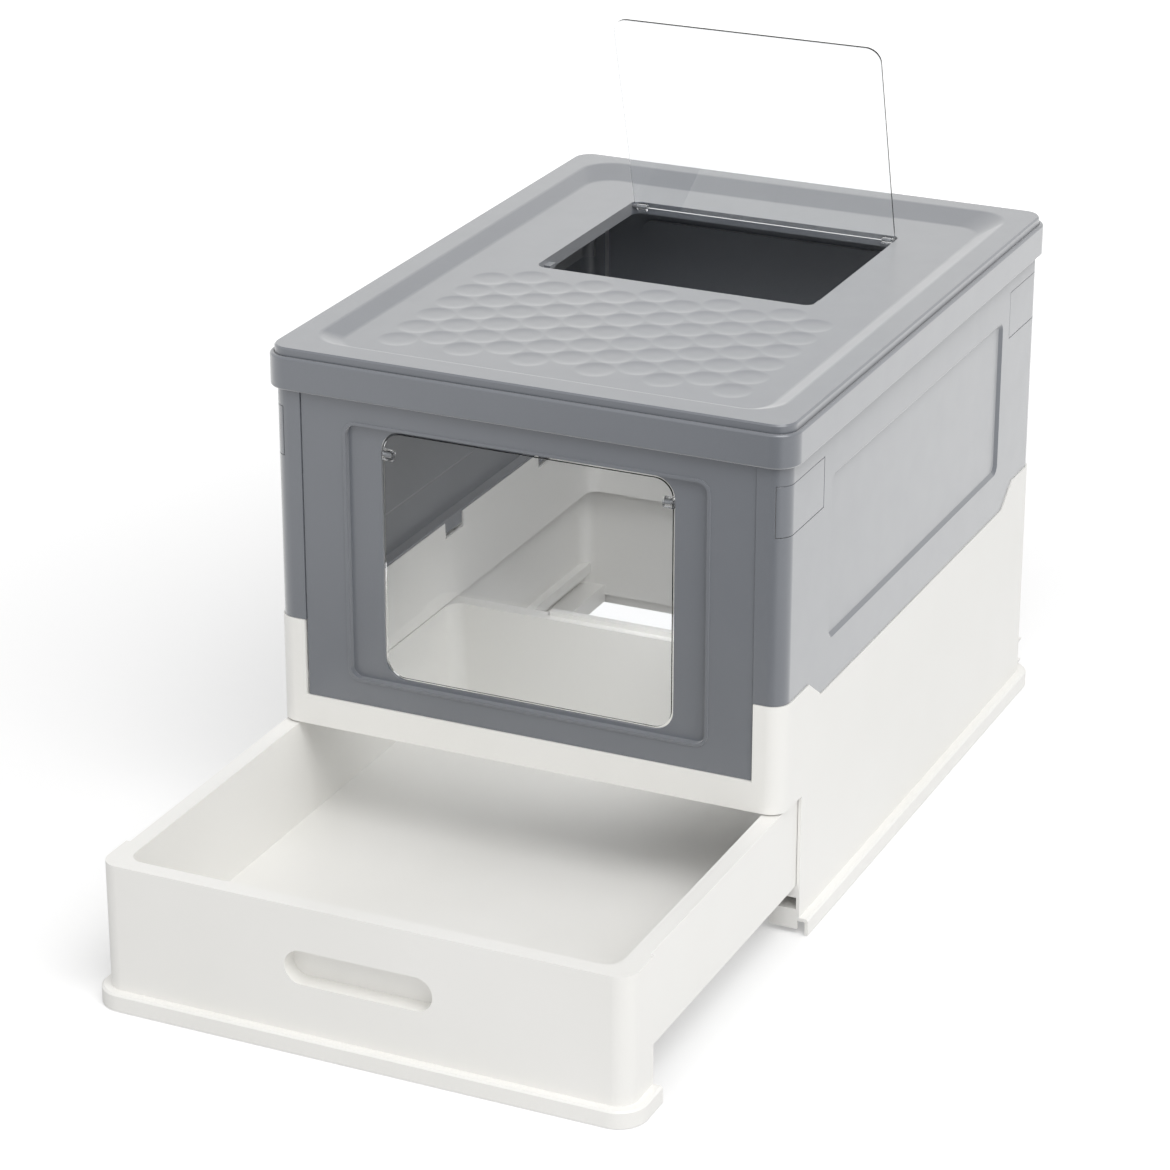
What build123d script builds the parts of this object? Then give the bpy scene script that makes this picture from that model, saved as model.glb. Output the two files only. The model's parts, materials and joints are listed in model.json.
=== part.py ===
"""Folding, enclosed litter box with a pull-out drawer, an entry flap and a top hatch.

Frame: X to the right along the front, Y to the back, Z up, millimetres.
The origin is on the floor, at the centre of the object's box as it stands with the drawer open.
"""
from build123d import *
import os
from math import cos, radians, sin

os.makedirs("parts", exist_ok=True)

# ---- overall -------------------------------------------------------------
body_w = 400.0          # lower case, across the front
body_d = 532.0          # lower case, front to back
corner_r = 14.0         # vertical corners of the case
skin = 2.5              # moulded wall thickness
drawer_open = 258.0     # how far the drawer stands out at rest

# ---- lower case ----------------------------------------------------------
lip_out = 7.0           # plinth lip, proud of the case
lip_h = 13.0
lip_bevel = 1.5
side_top = 176.0        # top edge of the sides
post_top = 193.0        # top of the four corner posts
post_w = 23.0           # corner post, across the front
post_d = 48.0           # corner post, along the side
post_run = 24.0         # slope from the post down to the side
sill_low = 110.3        # underside of the rim beam and of the front sill
sill_top = 133.3        # top of the front and rear sills
beam_w = 12.0           # hollow rim beam, outside to inside at the side's top
funnel_in = 3.5         # its inner wall leans inwards over the drawer's rim
rib_t = 2.5             # ribs and webs
ledge_low = 28.8        # drawer runners
ledge_top = 38.2
ledge_w = 7.5
rail_low = 4.0          # stiffening rails near the floor
rail_top = 19.5
rail_w = 20.5
rail_t = 2.0

# ---- drawer --------------------------------------------------------------
drawer_h = 109.0        # height of the drawer's front and rim
return_d = 38.0         # depth of the front's side returns
end_gap = 0.5           # gap between the returns and the case when shut
tray_gap = 0.5          # tray to case, each side
front_rim_w = 13.0      # rim behind the drawer's face
tray_end = 8.0          # tray to the rear face of the case when shut
tray_rim_w = 12.5       # side and rear rims
tray_low = 30.0         # underside of the tray
tray_lean = 4.0         # how far the tray's walls lean in
tray_r = 12.0
run_gap = 0.3           # rim skirt above the runner
slot_w = 112.0          # finger slot
slot_h = 25.5
slot_z = 63.0
slot_t = 2.0            # collar round the slot
stop_w = 204.0          # stop rib on the rear rim
stop_h = 4.0
stop_d = 6.0
stop_gap = 3.0          # relief for it in the rear beam, each side and above

# ---- walls ---------------------------------------------------------------
wall_in = 1.0           # side walls stand this far inside the case's faces
panel_in = 2.0          # front and rear walls stand this far inside
seat_gap = 0.3          # between pieces that seat on each other
seam = 0.4              # between the walls' edges
flange_d = 7.5          # inward flanges that stiffen the walls' edges
flange_up = 17.0        # start of the end walls' side flanges, above the sill
panel_y = 181.0         # half length of the sunk panel on a side wall
panel_low = 212.0
panel_top = 338.0
panel_deep = 2.5
panel_slope = 3.0
panel_r = 8.0

# ---- top frame -----------------------------------------------------------
frame_low = 371.0       # bottom edge of its skirt
frame_top = 396.0
frame_out = 4.0         # skirt, proud of the case
frame_t = 3.0
frame_bevel = 1.2
lid_seat = 393.5        # ledge that carries the lid
lid_seat_in = 12.0      # ledge's reach inside the case's faces

# ---- hinges of the folding walls -----------------------------------------
tab_w = 30.0            # hinge tabs under the side walls
tab_pitch = 170.0
tab_r = 4.0
tab_t = 3.0
tab_z = 168.0
tab_in = 7.4            # hinge rod, inside the case's faces
tab_gap = 0.8           # tab to its slot
tab_rod_r = 2.0
bore_gap = 0.05         # radial running clearance of every pin
knuckle_r = 3.2         # knuckles of the front and rear walls
knuckle_w = 24.0
knuckle_pitch = 105.0
knuckle_up = 5.7        # hinge axis above the sill
lug_t = 3.0
lug_r = 2.9
lug_gap = 0.4
fold_pin_r = 1.5

# ---- corner clips --------------------------------------------------------
clip_low = 319.0
clip_top = 357.0
clip_x = 10.0           # reach round the corner, across the front
clip_y = 70.0           # reach along the side
clip_gap = 0.4
clip_back = 2.0         # backing that overlaps the wall inside
clip_lap = 4.0

# ---- door in the front wall ----------------------------------------------
door_x = 140.0          # half width of the sunk door panel
door_low = 154.0
door_top = 351.0
door_deep = 4.0
door_r = 8.0
bead_w = 2.4            # raised bead round the sunk panel
bead_h = 0.8
window_x = 114.0
window_low = 157.0
window_top = 349.0
window_r = 16.0
rear_panel_low = 200.0  # sunk panel of the rear wall
flap_t = 2.0
flap_gap = 1.7
flap_set = 0.2          # flap's face behind the panel's face
flap_axis_z = 330.0
flap_axis_in = 0.3      # axis behind the flap's inner face
flap_ear_r = 4.5
flap_ear_w = 7.0
flap_pin_r = 1.75
flap_boss_gap = 0.6     # boss outside the window's edge
flap_boss_w = 7.4
flap_boss_r = 5.0

# ---- lid -----------------------------------------------------------------
lid_top = 402.0
lid_gap = 0.5           # lid to the frame's rim
dish_side = 20.0        # flat rim beside the dish
dish_front = 22.5
dish_rear = 16.5
dish_run = 14.0         # horizontal run of the dish's slopes
dish_front_run = 12.0
dish_rear_run = 28.0
dish_deep = 6.0
dish_r = 26.0
dish_floor_r = 22.0
dish_grow = 1.6         # the dish's underside, outside its upper face
hatch_x = 113.0         # half width of the opening
hatch_front = 259.0     # opening's front edge, from the case's front face
hatch_rear = 445.0
hatch_r = 8.0
collar_low = 386.0      # bottom of the collar round the opening
plate_t = 2.0
plate_gap = 2.5
plate_len = 170.0       # from the hinge axis
plate_r = 12.0
plate_open = 74.5       # degrees from shut, as it stands
hatch_axis_in = 5.0     # hinge axis ahead of the opening's rear edge
hatch_axis_z = 393.2
hatch_ear_r = 3.2
hatch_ear_w = 8.0
hatch_ear_in = 2.5      # ear, inside the plate's edge
hatch_pin_r = 1.5
stud_w = 5.0            # studs that the shut plate rests on
stud_l = 10.0
stud_h = 3.4
stud_from_front = 16.0  # behind the opening's front edge

# ---- worked out from the sizes above -------------------------------------
y_front = (drawer_open - body_d) / 2
y_back = y_front + body_d
y_mid = (y_front + y_back) / 2
drawer_mid = y_mid - drawer_open
drawer_front = y_front - drawer_open
drawer_back = y_back - drawer_open - tray_end
face_x = body_w / 2
inner_x = face_x - skin
skirt_x = inner_x - tray_gap
web_x = face_x - post_w
fold_in = panel_in + skin + knuckle_r
fold_z = sill_top + knuckle_up
tab_x = face_x - tab_in
slot_half = tab_w / 2 + tab_gap
wall_low = side_top + seat_gap
wall_top = lid_seat - skin - seat_gap
wall_in_x = face_x - wall_in - skin
return_x = web_x - 2 * seam
panel_x = return_x - seam
flap_in = panel_in + door_deep + flap_set
flap_axis_y = y_front + flap_in + flap_t + flap_axis_in
flap_x = window_x - flap_gap
lid_edge = frame_t - frame_out + lid_gap
plate_x = hatch_x - plate_gap
hatch_ear_x = plate_x - hatch_ear_in
hatch_axis_y = y_front + hatch_rear - hatch_axis_in
lean_rate = funnel_in / (side_top - sill_low)
rod_socket = tab_rod_r + bore_gap
pin_socket = fold_pin_r + bore_gap


def lean(z):
    """How far the rim beam's inner face stands inside the case's faces at height z."""
    return beam_w + (side_top - z) * lean_rate


def from_end(end, inside):
    """Y of a place that far inside the front face (end 1) or the rear face (end -1)."""
    return y_front + inside if end > 0 else y_back - inside


def around(middle, half):
    """The two ends of a span centred on a place."""
    return (middle - half, middle + half)


def outline(inset, radius=corner_r, middle=y_mid, mode=Mode.ADD):
    """The case's rounded outline, inset by that much."""
    with Locations((0, middle)):
        RectangleRounded(body_w - 2 * inset, body_d - 2 * inset, radius - inset, mode=mode)


def prism(z0, z1, inset, middle=y_mid, mode=Mode.ADD):
    """A prism of the case's outline from z0 to z1."""
    with BuildSketch(Plane.XY.offset(z0)) as shape:
        outline(inset, middle=middle)
    extrude(shape.sketch, amount=z1 - z0, mode=mode)


def block(x, y, z, mode=Mode.ADD):
    """A box between the two values of each pair."""
    with Locations((sum(x) / 2, sum(y) / 2, sum(z) / 2)):
        Box(abs(x[1] - x[0]), abs(y[1] - y[0]), abs(z[1] - z[0]), mode=mode)


def rod_x(x, y, z, radius, mode=Mode.ADD):
    """A cylinder along X."""
    with Locations((sum(x) / 2, y, z)):
        Cylinder(radius, abs(x[1] - x[0]), rotation=(0, 90, 0), mode=mode)


def rod_y(x, y, z, radius, mode=Mode.ADD):
    """A cylinder along Y."""
    with Locations((x, sum(y) / 2, z)):
        Cylinder(radius, abs(y[1] - y[0]), rotation=(90, 0, 0), mode=mode)


def barrel(place, along, length, apothem):
    """An eight-sided hinge barrel from a place, along a direction square to Z."""
    with BuildSketch(Plane(place, x_dir=(0, 0, 1), z_dir=along)) as octagon:
        RegularPolygon(apothem, 8, major_radius=False, rotation=22.5)
    extrude(octagon.sketch, amount=length)


def profile_x(points, x0, length, mode=Mode.ADD):
    """A prism along X from an outline of (y, z) points."""
    with BuildSketch(Plane.YZ.offset(x0)) as shape:
        with BuildLine():
            Polyline(*points, close=True)
        make_face()
    extrude(shape.sketch, amount=length, mode=mode)


def panel(end, inside, depth, half_w, z, radius, mode=Mode.ADD):
    """A rounded plate parallel to the front, from inside the end's face inwards."""
    centre = (0, from_end(end, inside), sum(z) / 2)
    with BuildSketch(Plane(centre, x_dir=(1, 0, 0), z_dir=(0, end, 0))) as shape:
        RectangleRounded(2 * half_w, z[1] - z[0], radius)
    extrude(shape.sketch, amount=depth, mode=mode)


def side_line(drop):
    """Top edge of the case's side from front to back, lowered by drop."""
    return [
        (y_front - lip_out, post_top - drop),
        (y_front + post_d, post_top - drop),
        (y_front + post_d + post_run, side_top - drop),
        (y_back - post_d - post_run, side_top - drop),
        (y_back - post_d, post_top - drop),
        (y_back + lip_out, post_top - drop),
    ]


def lip(middle):
    """Plinth lip: a rounded flange with a turned-down edge, round the whole case."""
    prism(0, lip_h, -lip_out, middle)
    chamfer(edges().group_by(Axis.Z)[-1], lip_bevel)
    prism(0, lip_h - skin, skin - lip_out, middle, mode=Mode.SUBTRACT)
    prism(lip_h - skin, lip_h, skin, middle, mode=Mode.SUBTRACT)


def save(part, name):
    """Label a finished piece and write it."""
    part.label = name
    export_step(part, f"parts/{name}.step")


# ---- lower case ----------------------------------------------------------
with BuildPart() as base_frame:
    lip(y_mid)
    prism(lip_h - skin, post_top, 0)
    prism(lip_h - skin, post_top, skin, mode=Mode.SUBTRACT)
    # inner wall of the rim beam, leaning in over the drawer's rim
    for face, mode in ((skin, Mode.ADD), (0, Mode.SUBTRACT)):
        with BuildSketch(Plane.XY.offset(sill_low)) as low_edge:
            outline(lean(sill_low) - face, corner_r + beam_w)
        with BuildSketch(Plane.XY.offset(post_top)) as high_edge:
            outline(lean(post_top) - face, corner_r + beam_w)
        loft([low_edge.sketch, high_edge.sketch], mode=mode)
    # top edge: corner posts, slopes, and the sills between the posts
    above = [(y_back + lip_out, post_top + skin), (y_front - lip_out, post_top + skin)]
    profile_x(side_line(0) + above, -face_x, body_w, mode=Mode.SUBTRACT)
    for end in (1, -1):
        sill_y = (from_end(end, -skin), from_end(end, lean(sill_low) + skin))
        block((-web_x, web_x), sill_y, (sill_top, post_top + skin), mode=Mode.SUBTRACT)
    # top flange of the beam: along the sides, on the posts and on the sills
    for x0 in (-face_x, face_x - beam_w):
        profile_x(side_line(0)[1:5] + side_line(skin)[4:0:-1], x0, beam_w)
    for side in (-1, 1):
        for end in (1, -1):
            with BuildSketch(Plane.XY.offset(post_top - skin)) as cap:
                outline(0)
                outline(lean(post_top), corner_r + beam_w, mode=Mode.SUBTRACT)
                with Locations((side * (face_x - post_w / 2), from_end(end, post_d / 2))):
                    Rectangle(post_w, post_d, mode=Mode.INTERSECT)
            extrude(cap.sketch, amount=skin)
    for end in (1, -1):
        face_y = from_end(end, 0)
        sill_y = from_end(end, lean(sill_top))
        block((-web_x - rib_t, web_x + rib_t), (face_y, sill_y), (sill_top - skin, sill_top))
        web = [
            (face_y, sill_top - skin),
            (sill_y, sill_top - skin),
            (from_end(end, lean(post_top)), post_top),
            (face_y, post_top),
        ]
        profile_x(web, web_x, rib_t)
        profile_x(web, -web_x - rib_t, rib_t)
    # opening for the drawer's front
    bay_x = face_x + lip_out + skin
    bay_y = (y_front - lip_out - skin, y_front + return_d + end_gap)
    block((-bay_x, bay_x), bay_y, (-skin, sill_low), mode=Mode.SUBTRACT)
    # relief over the drawer's stop rib
    relief_x = stop_w / 2 + stop_gap
    relief_y = (y_back - lean(sill_low) - skin, y_back - skin)
    relief_z = (sill_low - skin, drawer_h + stop_h + stop_gap)
    block((-relief_x, relief_x), relief_y, relief_z, mode=Mode.SUBTRACT)
    # drawer runners and stiffening rails, with closed front ends
    rail_y = (y_front + return_d + end_gap, y_back - skin / 2)
    for side in (-1, 1):
        out_x = side * (inner_x + skin / 2)
        for low, top, width in ((ledge_low, ledge_top, ledge_w), (rail_low, rail_top, rail_w)):
            in_x = side * (inner_x - width)
            block((in_x, out_x), rail_y, (top - rail_t, top))
            block((in_x, in_x + side * rail_t), rail_y, (low, top))
            block((in_x, out_x), (rail_y[0], rail_y[0] + rail_t), (low, top))
    # slots for the side walls' hinge tabs, with square rod sockets in their ribs
    for side in (-1, 1):
        rib_x = (side * (face_x - lean(tab_z) + skin / 2), side * (inner_x + skin / 2))
        cut_x = (side * (face_x - lean(tab_z) - skin), side * (tab_x + tab_r + tab_gap))
        for step in (-1, 0, 1):
            y0 = y_mid + step * tab_pitch
            for end in (-1, 1):
                rib_y = (y0 + end * slot_half, y0 + end * (slot_half + rib_t))
                block(rib_x, rib_y, (tab_z - 2 * tab_r, side_top - skin / 2))
            cut_z = (tab_z - tab_r - tab_gap, side_top + skin)
            block(cut_x, (y0 - slot_half, y0 + slot_half), cut_z, mode=Mode.SUBTRACT)
            socket_y = (y0 - slot_half - rib_t, y0 + slot_half + rib_t)
            rod_at = around(side * tab_x, rod_socket)
            block(rod_at, socket_y, around(tab_z, rod_socket), mode=Mode.SUBTRACT)
    # lugs for the front and rear walls' knuckles, with bevelled tops and square pin sockets
    for end in (1, -1):
        axis_y = from_end(end, fold_in)
        for step in (-1, 1):
            for side in (-1, 1):
                near = step * knuckle_pitch + side * (knuckle_w / 2 + lug_gap)
                lug = [
                    (axis_y - lug_r, sill_top - skin / 2),
                    (axis_y - lug_r, fold_z + lug_r / 3),
                    (axis_y - lug_r / 3, fold_z + lug_r),
                    (axis_y + lug_r / 3, fold_z + lug_r),
                    (axis_y + lug_r, fold_z + lug_r / 3),
                    (axis_y + lug_r, sill_top - skin / 2),
                ]
                profile_x(lug, min(near, near + side * lug_t), lug_t)
                lug_x = (near, near + side * lug_t)
                block(lug_x, around(axis_y, pin_socket), around(fold_z, pin_socket), Mode.SUBTRACT)
save(base_frame.part, "base_frame")


# ---- drawer --------------------------------------------------------------
def tray(extra, z0, mode):
    """The tray's tapered hollow, grown by extra, from z0 up to the rim."""
    half_w = skirt_x - tray_rim_w + extra
    y0 = drawer_front + front_rim_w - extra
    y1 = drawer_back - tray_rim_w + extra
    ring = []
    for z, shrink in ((z0, tray_lean), (drawer_h, 0)):
        with BuildSketch(Plane.XY.offset(z)) as level:
            with Locations((0, (y0 + y1) / 2)):
                width = 2 * (half_w - shrink)
                RectangleRounded(width, y1 - y0 - 2 * shrink, tray_r + extra)
        ring.append(level.sketch)
    loft(ring, mode=mode)


def tray_edge(inset, mode=Mode.ADD):
    """Outline of the tray's rim, which runs on into the drawer's front."""
    with Locations((0, (drawer_front + drawer_back) / 2)):
        length = drawer_back - drawer_front - 2 * inset
        RectangleRounded(2 * (skirt_x - inset), length, tray_r - inset, mode=mode)


with BuildPart() as drawer:
    # front with its side returns and lip
    lip(drawer_mid)
    prism(lip_h - skin, drawer_h, 0, drawer_mid)
    prism(lip_h - skin, drawer_h - skin, skin, drawer_mid, mode=Mode.SUBTRACT)
    front_y = (drawer_front - lip_out, drawer_front + return_d)
    block((-body_w, body_w), front_y, (0, drawer_h), mode=Mode.INTERSECT)
    for side in (-1, 1):
        end_y = (front_y[1] - skin, front_y[1])
        block((side * (skirt_x - skin), side * (face_x - skin / 2)), end_y, (0, drawer_h))
    # rim and its skirt, which slides on the runners
    with BuildSketch(Plane.XY.offset(drawer_h - skin)) as rim:
        tray_edge(0)
    extrude(rim.sketch, amount=skin)
    with BuildSketch(Plane.XY.offset(ledge_top + run_gap)) as skirt:
        tray_edge(0)
        tray_edge(skin, mode=Mode.SUBTRACT)
        with Locations((0, (front_y[1] - skin + drawer_back) / 2)):
            Rectangle(body_w, drawer_back - front_y[1] + skin, mode=Mode.INTERSECT)
    extrude(skirt.sketch, amount=drawer_h - ledge_top - run_gap)
    # finger slot with its collar
    for grow, y0, mode in ((slot_t, skin / 2, Mode.ADD), (0, -skin, Mode.SUBTRACT)):
        centre = (0, drawer_front + y0, slot_z)
        with BuildSketch(Plane(centre, x_dir=(1, 0, 0), z_dir=(0, 1, 0))) as slot:
            SlotOverall(slot_w + 2 * grow, slot_h + 2 * grow)
        extrude(slot.sketch, amount=front_rim_w + skin - y0, mode=mode)
    # tray
    tray(skin, tray_low, Mode.ADD)
    tray(0, tray_low + skin, Mode.SUBTRACT)
    stop_y = (drawer_back - stop_d, drawer_back)
    block((-stop_w / 2, stop_w / 2), stop_y, (drawer_h - skin / 2, drawer_h + stop_h))
save(drawer.part, "drawer")

# ---- side walls ----------------------------------------------------------
for side, name in ((-1, "left_side_wall"), (1, "right_side_wall")):
    with BuildPart() as side_wall:
        prism(wall_low, wall_top, wall_in)
        prism(wall_low, wall_top, wall_in + skin, mode=Mode.SUBTRACT)
        wall_y = (y_front, y_back)
        block((side * return_x, side * face_x), wall_y, (wall_low, wall_top), mode=Mode.INTERSECT)
        # lower edge, following the case's top edge
        below = [(y_back + lip_out, sill_top), (y_front - lip_out, sill_top)]
        profile_x(side_line(-seat_gap) + below, -face_x, body_w, mode=Mode.SUBTRACT)
        # sunk panel
        for x0, mode in ((wall_in_x, Mode.ADD), (wall_in_x + skin, Mode.SUBTRACT)):
            centre = (side * x0, y_mid, (panel_low + panel_top) / 2)
            face = Plane(centre, x_dir=(0, 1, 0), z_dir=(-side, 0, 0))
            ring = []
            for depth, shrink in ((0, 0), (panel_deep, panel_slope)):
                with BuildSketch(face.offset(depth)) as level:
                    width = 2 * (panel_y - shrink)
                    height = panel_top - panel_low - 2 * shrink
                    RectangleRounded(width, height, panel_r - shrink)
                ring.append(level.sketch)
            loft(ring, mode=mode)
        # flanges along the top and bottom and on the corner returns
        flange_x = (side * (wall_in_x - flange_d), side * (wall_in_x + skin / 2))
        top_y = (y_front + corner_r, y_back - corner_r)
        block(flange_x, top_y, (wall_top - skin, wall_top))
        foot_x = (side * (face_x - beam_w), side * (wall_in_x + skin / 2))
        foot_y = (y_front + post_d + post_run + seam, y_back - post_d - post_run - seam)
        block(foot_x, foot_y, (wall_low, wall_low + skin))
        for end in (1, -1):
            edge_y = (from_end(end, wall_in + skin / 2), from_end(end, wall_in + skin + flange_d))
            edge_x = (side * return_x, side * (return_x + skin))
            block(edge_x, edge_y, (post_top + seat_gap, wall_top))
            # window for the corner clip
            clip_zone_y = (from_end(end, 0), from_end(end, clip_y))
            clip_zone_x = (side * (face_x - clip_x), side * face_x)
            block(clip_zone_x, clip_zone_y, (clip_low, clip_top), mode=Mode.SUBTRACT)
        # hinge tabs
        for step in (-1, 0, 1):
            y0 = y_mid + step * tab_pitch
            tab_y = (y0 - tab_w / 2, y0 + tab_w / 2)
            plate_in = side * (tab_x - tab_r)
            block((plate_in, plate_in + side * tab_t), tab_y, (tab_z, wall_low + skin / 2))
            barrel((side * tab_x, tab_y[0], tab_z), (0, 1, 0), tab_w, tab_r)
            rod_y(side * tab_x, tab_y, tab_z, tab_rod_r + bore_gap, mode=Mode.SUBTRACT)
    save(side_wall.part, name)


# ---- corner clips --------------------------------------------------------
def clip_strip(side, end, near, far, grow, z0, z1):
    """A strip round one corner between two insets, within the clip's reach."""
    reach_x = clip_x + grow
    reach_y = clip_y + grow
    with BuildSketch(Plane.XY.offset(z0)) as strip:
        outline(near)
        outline(far, mode=Mode.SUBTRACT)
        with Locations((side * (face_x - reach_x / 2), from_end(end, reach_y / 2))):
            Rectangle(reach_x, reach_y, mode=Mode.INTERSECT)
    extrude(strip.sketch, amount=z1 - z0)


for end, end_name in ((1, "front"), (-1, "rear")):
    for side, side_name in ((-1, "left"), (1, "right")):
        with BuildPart() as clip:
            back_in = wall_in + skin + seat_gap
            face_z = (clip_low + clip_gap, clip_top - clip_gap)
            back_z = (clip_low - clip_lap, clip_top + clip_lap)
            clip_strip(side, end, wall_in, back_in + clip_back, -clip_gap, *face_z)
            clip_strip(side, end, back_in, back_in + clip_back, clip_lap, *back_z)
        save(clip.part, f"{end_name}_{side_name}_clip")


# ---- front and rear walls ------------------------------------------------
def end_wall(end, panel_z, deep):
    """A folding end wall with a sunk panel, edge flanges and knuckles along its foot."""
    back_in = panel_in + skin
    wall_y = (from_end(end, panel_in), from_end(end, back_in))
    block((-panel_x, panel_x), wall_y, (sill_top + seat_gap, wall_top))
    bead_z = (panel_z[0] - bead_w, panel_z[1] + bead_w)
    panel(end, panel_in - bead_h, bead_h + skin, door_x + bead_w, bead_z, door_r + bead_w)
    boss_z = (panel_z[0] - skin, panel_z[1] + skin)
    panel(end, panel_in, deep + skin, door_x + skin, boss_z, door_r + skin)
    panel(end, 0, panel_in + deep, door_x, panel_z, door_r, mode=Mode.SUBTRACT)
    flange_y = (wall_y[1], from_end(end, back_in + flange_d))
    for side in (-1, 1):
        edge_x = (side * panel_x, side * (panel_x - skin))
        block(edge_x, flange_y, (sill_top + flange_up, wall_top))
    block((-panel_x, panel_x), flange_y, (wall_top - skin, wall_top))
    axis_y = from_end(end, fold_in)
    for step in (-1, 1):
        x0 = step * knuckle_pitch
        knuckle_x = (x0 - knuckle_w / 2, x0 + knuckle_w / 2)
        web_y = (from_end(end, panel_in + skin / 2), axis_y)
        block(knuckle_x, web_y, (fold_z - knuckle_r, fold_z + knuckle_r))
        barrel((knuckle_x[0], axis_y, fold_z), (1, 0, 0), knuckle_w, knuckle_r)
        rod_x(knuckle_x, axis_y, fold_z, fold_pin_r + bore_gap, mode=Mode.SUBTRACT)


with BuildPart() as front_wall:
    end_wall(1, (door_low, door_top), door_deep)
    window_z = (window_low, window_top)
    panel(1, 0, 2 * door_deep + skin, window_x, window_z, window_r, mode=Mode.SUBTRACT)
    # bosses for the flap's pins, behind the sunk panel
    for side in (-1, 1):
        near = side * (window_x + flap_boss_gap)
        boss_x = (near, near + side * flap_boss_w)
        rod_x(boss_x, flap_axis_y, flap_axis_z, flap_boss_r)
        front_y = (y_front, y_front + panel_in + door_deep)
        boss_z = (flap_axis_z - flap_boss_r, flap_axis_z + flap_boss_r)
        block(boss_x, front_y, boss_z, mode=Mode.SUBTRACT)
        bore_x = (side * (window_x - skin), boss_x[1])
        rod_x(bore_x, flap_axis_y, flap_axis_z, flap_pin_r + bore_gap, mode=Mode.SUBTRACT)
save(front_wall.part, "front_wall")

with BuildPart() as rear_wall:
    end_wall(-1, (rear_panel_low, door_top), panel_deep)
save(rear_wall.part, "rear_wall")

# ---- entry flap ----------------------------------------------------------
with BuildPart() as entry_flap:
    flap_z = (window_low + flap_gap, window_top - flap_gap)
    panel(1, flap_in, flap_t, flap_x, flap_z, window_r - flap_gap)
    for side in (-1, 1):
        ear_x = (side * flap_x, side * (flap_x - flap_ear_w))
        rod_x(ear_x, flap_axis_y, flap_axis_z, flap_ear_r)
        rod_x(ear_x, flap_axis_y, flap_axis_z, flap_pin_r + bore_gap, mode=Mode.SUBTRACT)
save(entry_flap.part, "entry_flap")

for side, name in ((-1, "flap_pin_left"), (1, "flap_pin_right")):
    with BuildPart() as flap_pin:
        outer = window_x + flap_boss_gap + flap_boss_w
        pin_x = (side * (flap_x - flap_ear_w), side * outer)
        rod_x(pin_x, flap_axis_y, flap_axis_z, flap_pin_r)
    save(flap_pin.part, name)

# ---- top frame -----------------------------------------------------------
with BuildPart() as top_frame:
    prism(frame_low, frame_top, -frame_out)
    chamfer(edges().group_by(Axis.Z)[-1], frame_bevel)
    chamfer(edges().group_by(Axis.Z)[0], frame_bevel)
    prism(frame_low, lid_seat - skin, frame_t - frame_out, mode=Mode.SUBTRACT)
    prism(lid_seat - skin, lid_seat, lid_seat_in, mode=Mode.SUBTRACT)
    prism(lid_seat, frame_top, frame_t - frame_out, mode=Mode.SUBTRACT)
save(top_frame.part, "top_frame")


# ---- lid -----------------------------------------------------------------
def dish(z_top, grow, mode):
    """The lid's dish: a flat floor with sloped sides, grown by that much."""
    ring = []
    for z, side_run, front_run, rear_run, radius in (
        (z_top, 0, 0, 0, dish_r),
        (z_top - dish_deep, dish_run, dish_front_run, dish_rear_run, dish_floor_r),
    ):
        half_w = face_x - lid_edge - dish_side - side_run + grow
        y0 = y_front + lid_edge + dish_front + front_run - grow
        y1 = y_back - lid_edge - dish_rear - rear_run + grow
        with BuildSketch(Plane.XY.offset(z)) as level:
            with Locations((0, (y0 + y1) / 2)):
                RectangleRounded(2 * half_w, y1 - y0, radius + grow)
        ring.append(level.sketch)
    loft(ring, mode=mode)


def hatchway(grow, z0, z1, mode):
    """The hatch opening, grown by that much, from z0 to z1."""
    with BuildSketch(Plane.XY.offset(z0)) as opening:
        with Locations((0, y_front + (hatch_front + hatch_rear) / 2)):
            length = hatch_rear - hatch_front + 2 * grow
            RectangleRounded(2 * (hatch_x + grow), length, hatch_r + grow)
    extrude(opening.sketch, amount=z1 - z0, mode=mode)


with BuildPart() as top_lid:
    lid_low = lid_seat + seat_gap
    prism(lid_low, lid_top, lid_edge)
    chamfer(edges().group_by(Axis.Z)[-1], frame_bevel)
    prism(lid_low, lid_top - skin, lid_edge + skin, mode=Mode.SUBTRACT)
    dish(lid_top - skin, dish_grow, Mode.ADD)
    dish(lid_top, 0, Mode.SUBTRACT)
    hatchway(skin, collar_low, lid_top - dish_deep, Mode.ADD)
    hatchway(0, collar_low, lid_top, Mode.SUBTRACT)
    stud_top = hatch_axis_z - plate_t / 2 - seat_gap
    for side in (-1, 1):
        stud_x = (side * (hatch_x - stud_w), side * (hatch_x + skin / 2))
        stud_y = y_front + hatch_front + stud_from_front
        block(stud_x, (stud_y, stud_y + stud_l), (stud_top - stud_h, stud_top))
        bore_x = (side * plate_x, side * (hatch_x + skin))
        bore_r = hatch_pin_r + bore_gap
        rod_x(bore_x, hatch_axis_y, hatch_axis_z, bore_r, mode=Mode.SUBTRACT)
save(top_lid.part, "top_lid")

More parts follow.
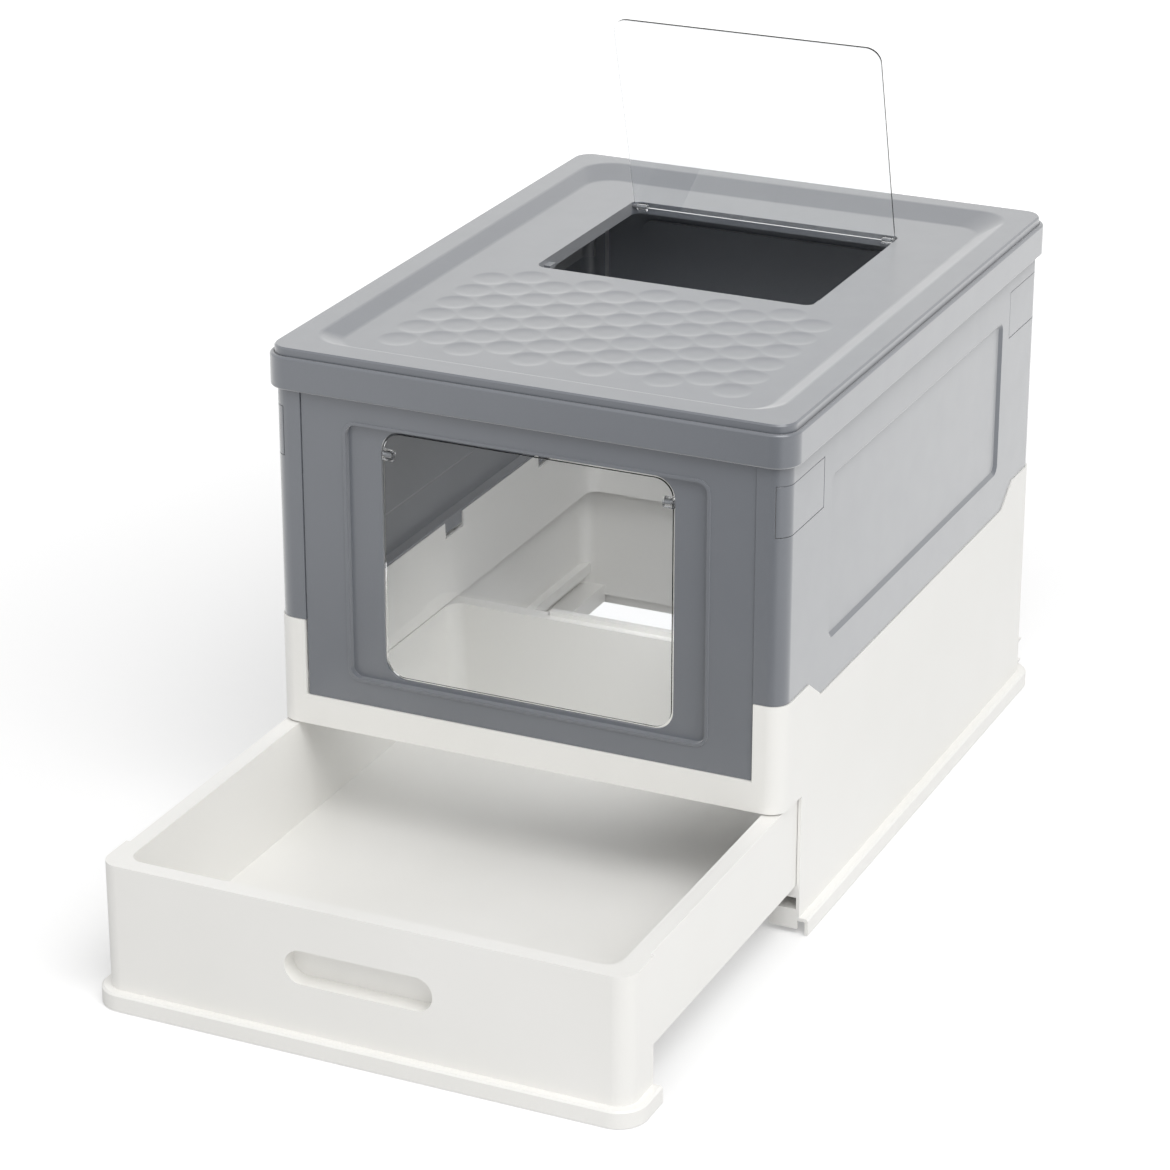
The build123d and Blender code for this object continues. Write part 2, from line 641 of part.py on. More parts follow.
# ---- hatch ---------------------------------------------------------------
with BuildPart() as top_hatch:
    open_angle = radians(plate_open)
    face_dir = (0, -sin(open_angle), -cos(open_angle))
    hinge_line = (0, hatch_axis_y, hatch_axis_z)
    with BuildSketch(Plane(hinge_line, x_dir=(1, 0, 0), z_dir=face_dir)) as plate:
        with Locations((0, plate_len / 2)):
            RectangleRounded(2 * plate_x, plate_len, plate_r)
        with Locations((0, plate_r)):
            Rectangle(2 * plate_x, 2 * plate_r)
    extrude(plate.sketch, amount=plate_t / 2, both=True)
    for side in (-1, 1):
        ear_x = (side * hatch_ear_x, side * (hatch_ear_x - hatch_ear_w))
        rod_x(ear_x, hatch_axis_y, hatch_axis_z, hatch_ear_r)
        bore_x = (side * plate_x, ear_x[1])
        bore_r = hatch_pin_r + bore_gap
        rod_x(bore_x, hatch_axis_y, hatch_axis_z, bore_r, mode=Mode.SUBTRACT)
save(top_hatch.part, "top_hatch")

for side, name in ((-1, "hatch_pin_left"), (1, "hatch_pin_right")):
    with BuildPart() as hatch_pin:
        pin_x = (side * (hatch_ear_x - hatch_ear_w), side * (hatch_x + skin))
        rod_x(pin_x, hatch_axis_y, hatch_axis_z, hatch_pin_r)
    save(hatch_pin.part, name)

# ---- hinge pins and rods of the walls --------------------------------------
for end, name in ((1, "front_hinge_pins"), (-1, "rear_hinge_pins")):
    with BuildPart() as fold_pins:
        reach = knuckle_w / 2 + lug_gap + lug_t
        for step in (-1, 1):
            x0 = step * knuckle_pitch
            rod_x((x0 - reach, x0 + reach), from_end(end, fold_in), fold_z, fold_pin_r)
    save(fold_pins.part, name)

for side, name in ((-1, "left_hinge_rod"), (1, "right_hinge_rod")):
    with BuildPart() as hinge_rod:
        reach = tab_pitch + slot_half + rib_t
        rod_y(side * tab_x, (y_mid - reach, y_mid + reach), tab_z, tab_rod_r)
    save(hinge_rod.part, name)
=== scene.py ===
# %% [markdown]
# # An enclosed litter box with a drawer
# The real object is moulded in three plastics: a white lower case with a pull-out
# drawer, grey folding walls under a dished lid, and a clear flap and hatch. The packed
# CAD model gives every piece its place and its motion. Here each piece gets the soft
# edges, the hammered lid and the finishes that a moulder would give it.

import json
import math

import bmesh
import bpy
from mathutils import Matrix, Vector


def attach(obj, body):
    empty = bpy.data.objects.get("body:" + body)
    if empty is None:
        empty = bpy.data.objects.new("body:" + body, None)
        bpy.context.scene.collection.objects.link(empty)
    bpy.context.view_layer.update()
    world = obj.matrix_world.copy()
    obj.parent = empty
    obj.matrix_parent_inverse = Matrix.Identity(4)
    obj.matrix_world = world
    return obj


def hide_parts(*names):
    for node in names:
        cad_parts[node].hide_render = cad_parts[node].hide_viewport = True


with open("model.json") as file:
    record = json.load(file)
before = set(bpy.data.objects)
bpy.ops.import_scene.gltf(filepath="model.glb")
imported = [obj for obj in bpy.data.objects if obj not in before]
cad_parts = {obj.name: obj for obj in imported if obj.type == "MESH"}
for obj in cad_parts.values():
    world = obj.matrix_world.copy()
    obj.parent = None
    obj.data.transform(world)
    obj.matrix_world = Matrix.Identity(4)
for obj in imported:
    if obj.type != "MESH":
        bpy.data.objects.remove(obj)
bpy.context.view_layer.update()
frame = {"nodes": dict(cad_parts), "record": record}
print("nodes in the frame:", len(frame["nodes"]))

# %% [markdown]
# ## A shared group for moulded grain
# Moulded polypropylene is never a flat colour. Its surface carries a fine spark-eroded
# grain, and it sinks and flows a little over each broad face. Both effects are the same
# in the white and in the grey plastic, so they live in one node group, and each material
# gives it its own values. A group could also be copied node by node into every material,
# but then a change would have to be made in each copy.


# %% The node group for moulded grain
def new_group(name, inputs, outputs):
    """A shader node group with named sockets, and its input and output nodes."""
    group = bpy.data.node_groups.new(name, "ShaderNodeTree")
    number = "NodeSocketFloat"
    for label, value in inputs.items():
        socket = group.interface.new_socket(label, in_out="INPUT", socket_type=number)
        socket.default_value = value
    for label in outputs:
        group.interface.new_socket(label, in_out="OUTPUT", socket_type=number)
    return group, group.nodes.new("NodeGroupInput"), group.nodes.new("NodeGroupOutput")


def calc(tree, operation, *values):
    """A Math node whose inputs are sockets or plain numbers."""
    node = tree.nodes.new("ShaderNodeMath")
    node.operation = operation
    for index, value in enumerate(values):
        if isinstance(value, (int, float)):
            node.inputs[index].default_value = value
        else:
            tree.links.new(value, node.inputs[index])
    return node.outputs[0]


def noise(tree, coordinates, scale, detail):
    """A noise texture whose scale is a socket or a plain number."""
    node = tree.nodes.new("ShaderNodeTexNoise")
    node.inputs["Detail"].default_value = detail
    tree.links.new(coordinates, node.inputs["Vector"])
    if isinstance(scale, (int, float)):
        node.inputs["Scale"].default_value = scale
    else:
        tree.links.new(scale, node.inputs["Scale"])
    return node.outputs["Fac"]


grain, grain_in, grain_out = new_group(
    "moulded_grain",
    {"Grain scale": 1500.0, "Flow scale": 7.0, "Grain share": 0.6},
    ("Height", "Tone", "Sheen mask"),
)
place = grain.nodes.new("ShaderNodeTexCoord").outputs["Object"]
rub_scale = 42.0
fine = noise(grain, place, grain_in.outputs["Grain scale"], detail=3.0)
flow = noise(grain, place, grain_in.outputs["Flow scale"], detail=2.0)
rub = noise(grain, place, rub_scale, detail=6.0)


def blended(first, share, second):
    """A mix of two noises, with the given share of the first."""
    part = calc(grain, "MULTIPLY", first, share)
    rest = calc(grain, "MULTIPLY", second, 1.0 - share)
    return calc(grain, "ADD", part, rest)


fine_part = calc(grain, "MULTIPLY", fine, grain_in.outputs["Grain share"])
grain.links.new(calc(grain, "ADD", fine_part, flow), grain_out.inputs["Height"])
grain.links.new(blended(fine, 0.35, flow), grain_out.inputs["Tone"])
grain.links.new(blended(rub, 0.6, flow), grain_out.inputs["Sheen mask"])
print("group", grain.name, "has", len(grain.nodes), "nodes")

# %% [markdown]
# ## The opaque plastics
# White and grey differ in colour, gloss and how coarse their grain is. A colour ramp
# keeps each close to one colour and lets the tone wander by a percent or two, as pigment
# does in a large moulding. The roughness wanders with the sheen mask, so highlights
# break up softly. A clear coat stands for the thin glossy skin of the mould face. The
# half of a mould that forms a wall's inner face is left matt, so the grey walls get a
# second, dull grey there.


# %% The function for a moulded plastic
noise_low = 0.3     # the group's noises mostly lie between these two
noise_high = 0.7
grain_height = 0.0002
coat_roughness = 0.22
sheen_roughness = 0.45


def linear(srgb):
    """Linear colour from 0-255 sRGB values."""
    parts = [value / 255 for value in srgb]
    parts = [v / 12.92 if v <= 0.04045 else ((v + 0.055) / 1.055) ** 2.4 for v in parts]
    return (*parts, 1.0)


def wandering(tree, effect, low, high, values):
    """A value that wanders between two values with the group's sheen mask."""
    spread = tree.nodes.new("ShaderNodeMapRange")
    spread.inputs["From Min"].default_value = low
    spread.inputs["From Max"].default_value = high
    spread.inputs["To Min"].default_value = values[0]
    spread.inputs["To Max"].default_value = values[1]
    tree.links.new(effect.outputs["Sheen mask"], spread.inputs["Value"])
    return spread.outputs["Result"]


def moulded(name, dark, pale, roughness, coat, grain_scale, bump, sheen=0.0):
    """A moulded plastic between two close colours, with grain and a glossy skin."""
    material = bpy.data.materials.new(name)
    material.use_nodes = True
    tree = material.node_tree
    shader = tree.nodes["Principled BSDF"]
    effect = tree.nodes.new("ShaderNodeGroup")
    effect.node_tree = grain
    effect.inputs["Grain scale"].default_value = grain_scale
    ramp = tree.nodes.new("ShaderNodeValToRGB")
    ramp.color_ramp.elements[0].position = noise_low
    ramp.color_ramp.elements[0].color = linear(dark)
    ramp.color_ramp.elements[1].position = noise_high
    ramp.color_ramp.elements[1].color = linear(pale)
    tree.links.new(effect.outputs["Tone"], ramp.inputs["Fac"])
    tree.links.new(ramp.outputs["Color"], shader.inputs["Base Color"])
    wander = wandering(tree, effect, noise_low, noise_high, roughness)
    tree.links.new(wander, shader.inputs["Roughness"])
    relief = tree.nodes.new("ShaderNodeBump")
    relief.inputs["Strength"].default_value = bump
    relief.inputs["Distance"].default_value = grain_height
    tree.links.new(effect.outputs["Height"], relief.inputs["Height"])
    tree.links.new(relief.outputs["Normal"], shader.inputs["Normal"])
    shader.inputs["Coat Weight"].default_value = coat
    shader.inputs["Coat Roughness"].default_value = coat_roughness
    shader.inputs["Sheen Weight"].default_value = sheen
    shader.inputs["Sheen Roughness"].default_value = sheen_roughness
    return material


white_plastic = moulded(
    "white_plastic", (243, 242, 238), (248, 247, 244),
    roughness=(0.4, 0.5), coat=0.2, grain_scale=1600.0, bump=0.12,
)
grey_dark = (103, 107, 114)
grey_pale = (110, 114, 121)
grey_plastic = moulded(
    "grey_plastic", grey_dark, grey_pale,
    roughness=(0.3, 0.4), coat=1.0, grain_scale=1400.0, bump=0.15, sheen=0.75,
)
matt_grey = moulded(
    "matt_grey", grey_dark, grey_pale,
    roughness=(0.45, 0.55), coat=0.15, grain_scale=1400.0, bump=0.15, sheen=0.1,
)
pin_plastic = moulded(
    "pin_plastic", (104, 106, 110), (112, 114, 118),
    roughness=(0.3, 0.4), coat=0.4, grain_scale=2200.0, bump=0.1,
)
for plastic in (white_plastic, grey_plastic, matt_grey, pin_plastic):
    print(plastic.name, "has", len(plastic.node_tree.nodes), "nodes")

# %% [markdown]
# ## The clear plastic
# The flap and the hatch are cut and moulded from clear sheet. The Principled shader's
# transmission gives the sheet its refraction and its bright, mirror-like edges. A real
# sheet is not perfect, so a little haze, where it has been wiped and handled, changes
# its roughness slightly. The flap is a trace greyer than the hatch. Rays on their way to
# a lamp go straight through, by a Transparent shader, because bending them too would
# leave the inside too dark.


# %% The clear sheet
acrylic_ior = 1.49
wipe_scale = 240.0


def clear_sheet(name, tint, haze, mirror):
    """A clear plastic sheet with slightly uneven haze."""
    material = bpy.data.materials.new(name)
    material.use_nodes = True
    tree = material.node_tree
    shader = tree.nodes["Principled BSDF"]
    shader.inputs["Base Color"].default_value = linear(tint)
    shader.inputs["Transmission Weight"].default_value = 1.0
    shader.inputs["IOR"].default_value = acrylic_ior
    shader.inputs["Specular IOR Level"].default_value = mirror
    effect = tree.nodes.new("ShaderNodeGroup")
    effect.node_tree = grain
    effect.inputs["Grain scale"].default_value = wipe_scale
    uneven = wandering(tree, effect, 0.35, 0.75, haze)
    tree.links.new(uneven, shader.inputs["Roughness"])
    lamp_light = tree.nodes.new("ShaderNodeBsdfTransparent")
    lamp_light.inputs["Color"].default_value = linear(tint)
    choose = tree.nodes.new("ShaderNodeMixShader")
    path = tree.nodes.new("ShaderNodeLightPath")
    tree.links.new(path.outputs["Is Shadow Ray"], choose.inputs["Fac"])
    tree.links.new(shader.outputs["BSDF"], choose.inputs[1])
    tree.links.new(lamp_light.outputs["BSDF"], choose.inputs[2])
    tree.links.new(choose.outputs[0], tree.nodes["Material Output"].inputs["Surface"])
    return material


clear_plastic = clear_sheet(
    "clear_plastic", (250, 251, 252), haze=(0.0, 0.03), mirror=0.5
)
smoky_plastic = clear_sheet(
    "smoky_plastic", (243, 244, 245), haze=(0.0, 0.04), mirror=0.12
)
print("clear plastics:", clear_plastic.name, smoky_plastic.name)

# %% [markdown]
# ## Soft edges on the moulded pieces
# A mould tool has no knife edges, so every outer edge of the real walls, lid and drawer
# has a small radius that catches the light. The CAD solids have sharp edges, which keeps
# their meshes light. A copy of each mesh is merged, its flat faces are joined again, and
# a Bevel modifier limited by angle rounds only the true edges. The copy then replaces the
# CAD node in the picture, and the CAD node keeps the collisions, hidden.


# %% The function for a softened copy
merge_distance = 1e-5
flat_angle = math.radians(0.5)
bevel_angle = math.radians(38)
sharp_angle = math.radians(50)


def mesh_copy(node):
    """A merged copy of a CAD node's mesh, with its flat faces whole again."""
    mesh = frame["nodes"][node].data.copy()
    shape = bmesh.new()
    shape.from_mesh(mesh)
    bmesh.ops.remove_doubles(shape, verts=shape.verts, dist=merge_distance)
    bmesh.ops.dissolve_limit(
        shape, angle_limit=flat_angle, verts=shape.verts, edges=shape.edges
    )
    shape.to_mesh(mesh)
    shape.free()
    return mesh


def apply_modifiers(piece):
    """Turn a piece's modifiers into plain mesh."""
    graph = bpy.context.evaluated_depsgraph_get()
    mesh = bpy.data.meshes.new_from_object(piece.evaluated_get(graph))
    piece.modifiers.clear()
    piece.data = mesh


def shade(piece, flatness=100):
    """Smooth shading in which the large flat faces stay flat."""
    for face in piece.data.polygons:
        face.use_smooth = True
    piece.data.set_sharp_from_angle(angle=sharp_angle)
    flat = piece.modifiers.new("flat", "WEIGHTED_NORMAL")
    flat.mode = "FACE_AREA"
    flat.weight = flatness
    flat.keep_sharp = True
    apply_modifiers(piece)


def soften(node, material, width, segments=2, mesh=None):
    """A copy of a CAD node with rounded edges, in its material."""
    piece = bpy.data.objects.new(node + "_moulded", mesh or mesh_copy(node))
    bpy.context.scene.collection.objects.link(piece)
    piece.data.materials.clear()
    piece.data.materials.append(material)
    bevel = piece.modifiers.new("edge", "BEVEL")
    bevel.width = width
    bevel.segments = segments
    bevel.limit_method = "ANGLE"
    bevel.angle_limit = bevel_angle
    bevel.use_clamp_overlap = True
    bevel.miter_outer = "MITER_ARC"
    apply_modifiers(piece)
    shade(piece)
    return piece


def body_of(node):
    """The body that a CAD node rides on."""
    bodies = frame["record"]["behaviour"]["bodies"]
    return next(body for body, names in bodies.items() if node in names)


def hand_over(piece, node):
    """Put a finished piece in a CAD node's place, on the node's body."""
    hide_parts(node)
    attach(piece, body_of(node))
    print(piece.name, "rides on", body_of(node), "with", len(piece.data.polygons), "faces")


# %% [markdown]
# ## The white lower case and the drawer
# These are the two large white mouldings, whose rims are thicker than the walls'. Their
# edges get a bevel of 0.7 mm, a little less than the grey walls' 0.8 mm.

# %% Soften the white pieces
white_edge = 0.0007
for node in ("base_frame", "drawer"):
    hand_over(soften(node, white_plastic, white_edge), node)

# %% [markdown]
# ## The grey walls, clips and top frame
# The thin folding walls get a bevel of 0.8 mm and the small clips one of 0.4 mm. They
# all share one grey plastic. A wall's faces that point into the cabin get the matt grey,
# chosen by each face's normal, which needs no UV map and no second piece.

# %% Soften the grey pieces
cabin_middle_y = 0.13
wall_edge = 0.0008
clip_edge = 0.0004


def dull_inside(piece, axis):
    """The matt grey on the faces of a wall that point into the cabin."""
    piece.data.materials.append(matt_grey)
    middle = (0.0, cabin_middle_y)[axis]
    inner = 0
    for face in piece.data.polygons:
        inward = -1.0 if face.center[axis] > middle else 1.0
        if face.normal[axis] * inward > 0.5:
            face.material_index = 1
            inner += 1
    print(piece.name, "has", inner, "matt faces")


grey_nodes = (
    "left_side_wall", "right_side_wall", "front_wall", "rear_wall", "top_frame",
    "front_left_clip", "front_right_clip", "rear_left_clip", "rear_right_clip",
)
for node in grey_nodes:
    piece = soften(node, grey_plastic, wall_edge if "_wall" in node else clip_edge)
    if "_wall" in node:
        dull_inside(piece, 0 if "side" in node else 1)
    hand_over(piece, node)

# %% [markdown]
# ## The hammered lid
# The front half of the lid's dish has eleven columns of shallow round hollows, so that
# a paw finds grip and scratches don't show. They nearly touch, in a honeycomb order,
# and thin crests stand between them. They repeat by a rule, so Geometry Nodes make
# them: a small grid of points, with every other column shifted by half a step, gives
# the centres, and each point of a dense grid sinks by how near its closest centre is.
# Sculpting them one by one would be slower, and could not be resized by a number.

# %% The field's sizes
floor_z = 0.396
column_step = 0.026
hollow_pitch = 0.0304
hollow_radius = 0.0146
hollow_depth = 0.0007
columns = 11
rows = 6
first_row_y = -0.071
field_margin = 0.0155
grid_step = 0.00115
flat_bottom = 3.2    # the power that flattens a hollow's bottom
soft_crest = 1.2     # the power that softens its crest
field_width = (columns - 1) * column_step + 2 * field_margin
field_length = (rows - 0.5) * hollow_pitch + 2 * field_margin
field_y = first_row_y + (rows - 0.5) * hollow_pitch / 2
print("the field is", round(field_width, 4), "by", round(field_length, 4), "m")


# %% The node tree that presses the hollows
def put(tree, node, key, value):
    """Set or link an input of a node."""
    if hasattr(value, "is_output"):
        tree.links.new(value, node.inputs[key])
    else:
        node.inputs[key].default_value = value


def geo(tree, kind, inputs=(), **settings):
    """A geometry node with its settings and inputs."""
    node = tree.nodes.new(kind)
    for key, value in settings.items():
        setattr(node, key, value)
    for key, value in dict(inputs).items():
        put(tree, node, key, value)
    return node


def sums(tree, operation, a, b=0.0):
    """A Math node in a geometry tree."""
    return geo(tree, "ShaderNodeMath", {0: a, 1: b}, operation=operation).outputs[0]


def shifted(tree, mesh, axis, amount):
    """A mesh whose points move by an amount along one axis."""
    move = geo(tree, "ShaderNodeCombineXYZ", {axis: amount}).outputs[0]
    moved = geo(tree, "GeometryNodeSetPosition", {"Geometry": mesh, "Offset": move})
    return moved.outputs[0]


def position(tree, axis):
    """One coordinate of each point's own place."""
    here = geo(tree, "GeometryNodeInputPosition").outputs[0]
    return geo(tree, "ShaderNodeSeparateXYZ", {0: here}).outputs[axis]


field = bpy.data.node_groups.new("hammered_field", "GeometryNodeTree")
field.interface.new_socket("Geometry", in_out="OUTPUT", socket_type="NodeSocketGeometry")
for label in ("Column step", "Pitch", "Radius", "Depth", "Width", "Length", "Grid step"):
    field.interface.new_socket(label, in_out="INPUT", socket_type="NodeSocketFloat")
for label in ("Columns", "Rows"):
    field.interface.new_socket(label, in_out="INPUT", socket_type="NodeSocketInt")
field.interface.new_socket("Plastic", in_out="INPUT", socket_type="NodeSocketMaterial")
given = field.nodes.new("NodeGroupInput").outputs
half_columns = sums(field, "MULTIPLY", sums(field, "SUBTRACT", given["Columns"], 1.0), 0.5)
two_steps = sums(field, "MULTIPLY", given["Column step"], 2.0)
centres_wide = sums(field, "MULTIPLY", half_columns, two_steps)
row_gaps = sums(field, "SUBTRACT", given["Rows"], 1.0)
centres_long = sums(field, "MULTIPLY", row_gaps, given["Pitch"])
centres = geo(field, "GeometryNodeMeshGrid", {
    "Size X": centres_wide, "Size Y": centres_long,
    "Vertices X": given["Columns"], "Vertices Y": given["Rows"],
}).outputs["Mesh"]
column = sums(field, "DIVIDE", position(field, 0), given["Column step"])
column = sums(field, "ROUND", sums(field, "ADD", column, half_columns))
either_way = sums(field, "SUBTRACT", sums(field, "MODULO", column, 2.0), 0.5)
half_pitch = sums(field, "MULTIPLY", given["Pitch"], 0.5)
half_shift = sums(field, "MULTIPLY", either_way, half_pitch)
centres = shifted(field, centres, 1, half_shift)
grid = geo(field, "GeometryNodeMeshGrid", {
    "Size X": given["Width"], "Size Y": given["Length"],
    "Vertices X": sums(field, "DIVIDE", given["Width"], given["Grid step"]),
    "Vertices Y": sums(field, "DIVIDE", given["Length"], given["Grid step"]),
}).outputs["Mesh"]
near = geo(field, "GeometryNodeProximity", {0: centres}, target_element="POINTS")
near = sums(field, "DIVIDE", near.outputs["Distance"], given["Radius"])
share = sums(field, "POWER", near, flat_bottom)
bowl = sums(field, "MAXIMUM", sums(field, "SUBTRACT", 1.0, share), 0.0)
sink = sums(field, "MULTIPLY", sums(field, "POWER", bowl, soft_crest), given["Depth"])
pressed = shifted(field, grid, 2, sums(field, "MULTIPLY", sink, -1.0))
realized = geo(field, "GeometryNodeRealizeInstances", {0: pressed}).outputs[0]
painted = geo(field, "GeometryNodeSetMaterial", {
    "Geometry": realized, "Material": given["Plastic"],
})
field.links.new(painted.outputs[0], field.nodes.new("NodeGroupOutput").inputs[0])
print("the tree has", len(field.nodes), "nodes")

# %% [markdown]
# ## Pressing the field and letting it into the lid
# The tree is run on an empty mesh, and its result is read back as plain mesh. The lid's
# copy first gets rounded edges round its dish, whose slopes are too shallow for the
# angle limit of the other bevels. Then it loses the flat floor of the dish. What is left
# open between the dish, the hatch opening and the field's edge is filled with flat
# triangles, and everything is merged into one skin.

# %% Run the tree
press_object = bpy.data.objects.new("pressed_field", bpy.data.meshes.new("pressed_field"))
bpy.context.scene.collection.objects.link(press_object)
machine = press_object.modifiers.new("hammered", "NODES")
machine.node_group = field
sizes = {
    "Column step": column_step, "Pitch": hollow_pitch, "Radius": hollow_radius,
    "Depth": hollow_depth, "Width": field_width, "Length": field_length,
    "Grid step": grid_step, "Columns": columns, "Rows": rows, "Plastic": grey_plastic,
}
for item in field.interface.items_tree:
    if item.name in sizes and item.in_out == "INPUT":
        machine[item.identifier] = sizes[item.name]
apply_modifiers(press_object)
print("pressed field:", len(press_object.data.vertices), "points")


# %% Let the field into the lid
floor_slack = 2e-6


def on_floor(item):
    """Whether an edge or a face lies in the plane of the dish's floor."""
    return all(abs(v.co.z - floor_z) < floor_slack for v in item.verts)


faces_up = 0.85
shallow = math.radians(9)
steep = math.radians(32)


def rounded_dish(node, width):
    """A copy of the lid's mesh with the shallow edges of its dish rounded."""
    mesh = mesh_copy(node)
    shape = bmesh.new()
    shape.from_mesh(mesh)
    edges = [
        edge for edge in shape.edges
        if len(edge.link_faces) == 2
        and all(face.normal.z > faces_up for face in edge.link_faces)
        and shallow < edge.calc_face_angle() < steep
    ]
    bmesh.ops.bevel(
        shape, geom=edges, offset=width, segments=4, profile=0.5, affect="EDGES"
    )
    shape.to_mesh(mesh)
    shape.free()
    print("dish edges rounded:", len(edges))
    return mesh


lid_edge = 0.0006
dish_edge = 0.0016
dish = rounded_dish("top_lid", dish_edge)
lid = soften("top_lid", grey_plastic, lid_edge, mesh=dish)
shape = bmesh.new()
shape.from_mesh(lid.data)
floor_faces = [face for face in shape.faces if face.normal.z > 0.9999 and on_floor(face)]
bmesh.ops.delete(shape, geom=floor_faces, context="FACES")
middle = Vector((0, field_y, floor_z))
before = set(shape.verts)
shape.from_mesh(press_object.data)
bmesh.ops.translate(shape, verts=[v for v in shape.verts if v not in before], vec=middle)
rims = [edge for edge in shape.edges if edge.is_boundary and on_floor(edge)]
bmesh.ops.triangle_fill(shape, edges=rims, use_beauty=True, normal=(0, 0, 1))
bmesh.ops.remove_doubles(shape, verts=shape.verts, dist=1e-6)
for face in shape.faces:
    face.smooth = True
    face.material_index = 0
shape.to_mesh(lid.data)
left_open = sum(edge.is_boundary for edge in shape.edges)
shape.free()
bpy.data.objects.remove(press_object)
shade(lid, flatness=50)
print("floor faces taken out:", len(floor_faces), "open edges left:", left_open)
hand_over(lid, "top_lid")

# %% [markdown]
# ## The clear flap and hatch
# The CAD solids are already the right sheets. A softened copy gives them polished,
# rounded rims, which is where clear plastic shows itself: the rim gathers light and
# draws a fine dark and bright line round the sheet.

# %% Soften the clear sheets
sheet_edge = 0.0006
for node, sheet in (("entry_flap", smoky_plastic), ("top_hatch", clear_plastic)):
    hand_over(soften(node, sheet, sheet_edge, segments=3), node)

# %% [markdown]
# ## Pins and hinge rods
# The small pins keep their CAD meshes and get the darker pin plastic. Their faces are
# already round enough for their size.

# %% Paint the pins
pin_nodes = [name for name in frame["nodes"] if "pin" in name or "rod" in name]
for name in pin_nodes:
    mesh = frame["nodes"][name].data
    mesh.materials.clear()
    mesh.materials.append(pin_plastic)
print("pins painted:", len(pin_nodes))

# %% [markdown]
# ## The studio
# A pale floor carries the object's soft shadow. To the camera the floor adds a little
# light of its own, more of it far away where the lamp is weak, so that it reads as
# white paper without more light on the object. Gloss sees it as a studio has it: dark
# in front, where the photographer stands, and bright at both sides and behind. The key
# lamp is large, so shadows stay soft. A very small one inside the cabin, which no mirror
# or camera sees, lifts the white walls that the clear flap shows.


# %% Floor and world
def ramp_between(tree, value, low, high, start, end):
    """A soft change from start to end as a value goes from low to high."""
    node = tree.nodes.new("ShaderNodeMapRange")
    node.interpolation_type = "SMOOTHSTEP"
    tree.links.new(value, node.inputs["Value"])
    limits = {"From Min": low, "From Max": high, "To Min": start, "To Max": end}
    for key, number in limits.items():
        node.inputs[key].default_value = number
    return node.outputs["Result"]


near_glow, far_glow = 0.3, 0.62
front_gloss, side_gloss, rear_gloss = 0.35, 1.1, 1.15


def paper(name):
    """White floor paper that looks near white to the camera and keeps a shadow."""
    material = bpy.data.materials.new(name)
    material.use_nodes = True
    tree = material.node_tree
    tree.nodes.clear()
    out = tree.nodes.new("ShaderNodeOutputMaterial")
    here = tree.nodes.new("ShaderNodeTexCoord").outputs["Object"]
    apart = tree.nodes.new("ShaderNodeSeparateXYZ")
    tree.links.new(here, apart.inputs[0])
    far = tree.nodes.new("ShaderNodeVectorMath")
    far.operation = "LENGTH"
    tree.links.new(here, far.inputs[0])
    matt = tree.nodes.new("ShaderNodeBsdfDiffuse")
    matt.inputs["Color"].default_value = (0.8, 0.8, 0.8, 1)
    path = tree.nodes.new("ShaderNodeLightPath")
    camera_ray = path.outputs["Is Camera Ray"]
    seen = calc(tree, "MAXIMUM", camera_ray, path.outputs["Is Transmission Ray"])
    glow = tree.nodes.new("ShaderNodeEmission")
    glowing = ramp_between(tree, far.outputs["Value"], 0.45, 1.9, near_glow, far_glow)
    tree.links.new(calc(tree, "MULTIPLY", seen, glowing), glow.inputs["Strength"])
    both = tree.nodes.new("ShaderNodeAddShader")
    tree.links.new(matt.outputs[0], both.inputs[0])
    tree.links.new(glow.outputs[0], both.inputs[1])
    studio = tree.nodes.new("ShaderNodeEmission")
    behind = calc(tree, "ADD", apart.outputs["Y"], apart.outputs["X"])
    behind = ramp_between(tree, behind, -0.5, 0.1, front_gloss, rear_gloss)
    left = ramp_between(tree, apart.outputs["X"], -0.65, -0.15, side_gloss, front_gloss)
    tree.links.new(calc(tree, "MAXIMUM", behind, left), studio.inputs["Strength"])
    choose = tree.nodes.new("ShaderNodeMixShader")
    tree.links.new(path.outputs["Is Glossy Ray"], choose.inputs["Fac"])
    tree.links.new(both.outputs[0], choose.inputs[1])
    tree.links.new(studio.outputs[0], choose.inputs[2])
    tree.links.new(choose.outputs[0], out.inputs["Surface"])
    return material


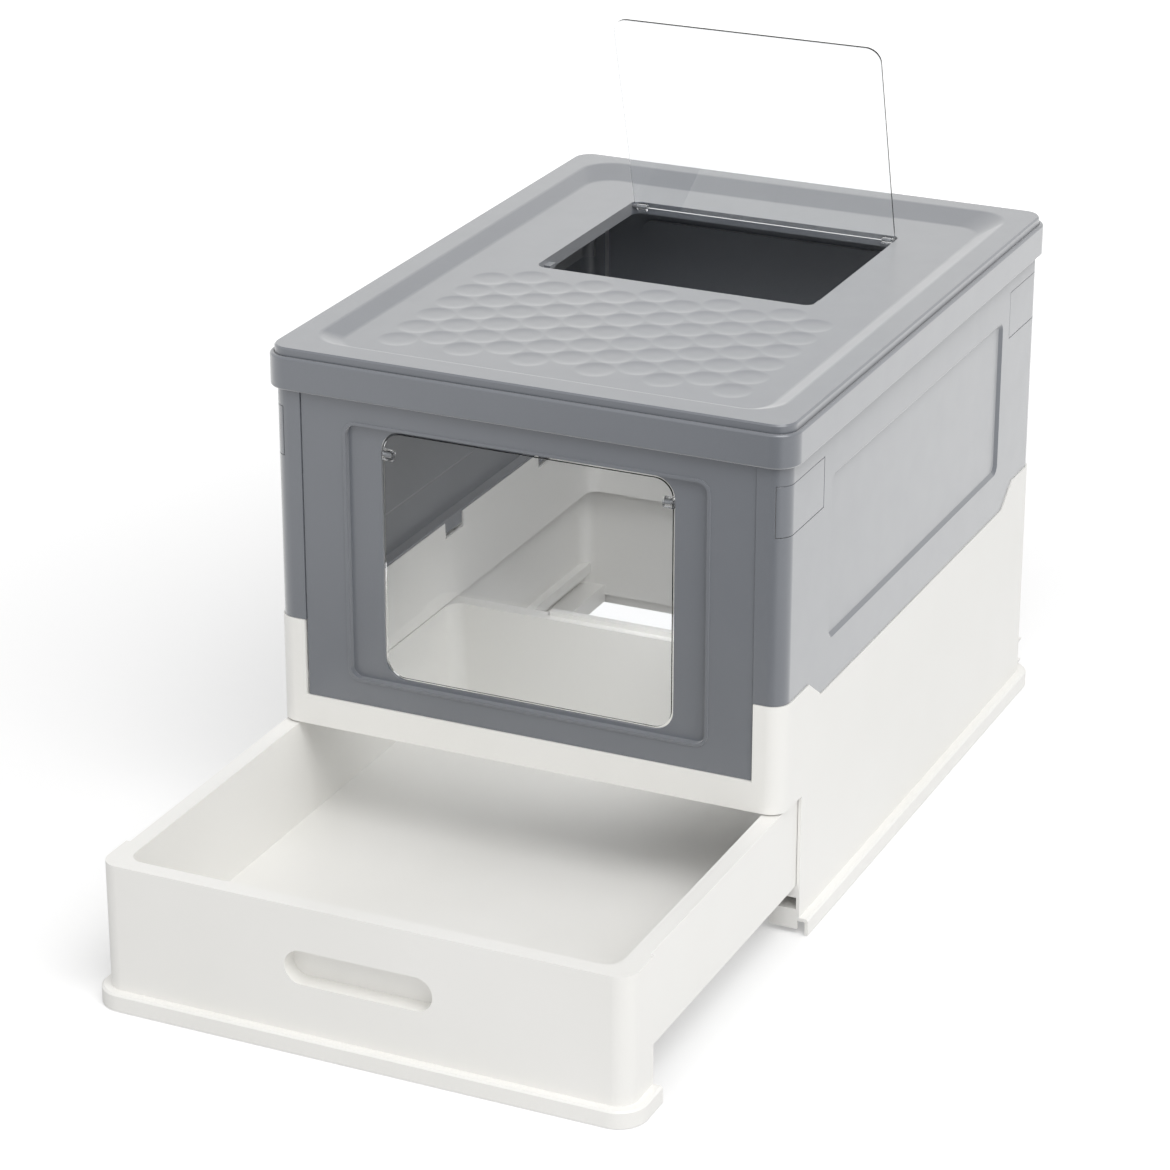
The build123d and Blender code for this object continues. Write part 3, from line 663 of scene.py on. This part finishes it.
floor_mesh = bpy.data.meshes.new("floor")
reach = 8.0
below = -0.0005
corners = [(-reach, -reach), (reach, -reach), (reach, reach), (-reach, reach)]
floor_mesh.from_pydata([(x, y, below) for x, y in corners], [], [(0, 1, 2, 3)])
floor = bpy.data.objects.new("floor", floor_mesh)
bpy.context.scene.collection.objects.link(floor)
floor_mesh.materials.append(paper("floor_paper"))

world = bpy.data.worlds.new("studio")
bpy.context.scene.world = world
world.use_nodes = True
sky = world.node_tree
path = sky.nodes.new("ShaderNodeLightPath")
seen = calc(sky, "MAXIMUM", path.outputs["Is Camera Ray"], path.outputs["Is Glossy Ray"])
seen = calc(sky, "MAXIMUM", seen, path.outputs["Is Transmission Ray"])
ambient = 0.62
strength = calc(sky, "ADD", calc(sky, "MULTIPLY", seen, 1.0 - ambient), ambient)
sky.nodes["Background"].inputs["Color"].default_value = (1, 1, 1, 1)
sky.links.new(strength, sky.nodes["Background"].inputs["Strength"])
print("world ambient:", ambient)


# %% Lamps
def lamp(name, place, target, size, watts):
    """A square area lamp that looks at a target."""
    light = bpy.data.lights.new(name, "AREA")
    light.size = size
    light.energy = watts
    piece = bpy.data.objects.new(name, light)
    piece.location = place
    aim = Vector(target) - Vector(place)
    piece.rotation_euler = aim.to_track_quat("-Z", "Y").to_euler()
    bpy.context.scene.collection.objects.link(piece)
    return piece


lamp("key", place=(1.75, -1.55, 3.2), target=(0, 0, 0.2), size=2.5, watts=72)
inside = lamp(
    "inside_fill", place=(0.06, 0.02, 0.335), target=(-0.06, 0.14, 0.06),
    size=0.12, watts=0.17,
)
inside.data.spread = math.radians(90)
inside.visible_camera = False
inside.visible_glossy = False
inside.visible_transmission = False
print("lamps set: key and inside_fill")

# %% [markdown]
# ## The camera
# The viewing angle was solved from the straight edges of the case: a long lens from the
# right front, looking down by about 23 degrees.

# %% Set the camera
lens = bpy.data.cameras.new("camera")
lens.lens = 118.76
lens.sensor_width = 36
camera = bpy.data.objects.new("camera", lens)
camera.location = (1.0942, -2.3996, 1.3087)
camera.rotation_euler = (math.radians(67.195), 0, math.radians(24.804))
bpy.context.scene.collection.objects.link(camera)
bpy.context.scene.camera = camera
bpy.context.scene.view_settings.view_transform = "Standard"
print("camera at", tuple(round(v, 3) for v in camera.location))
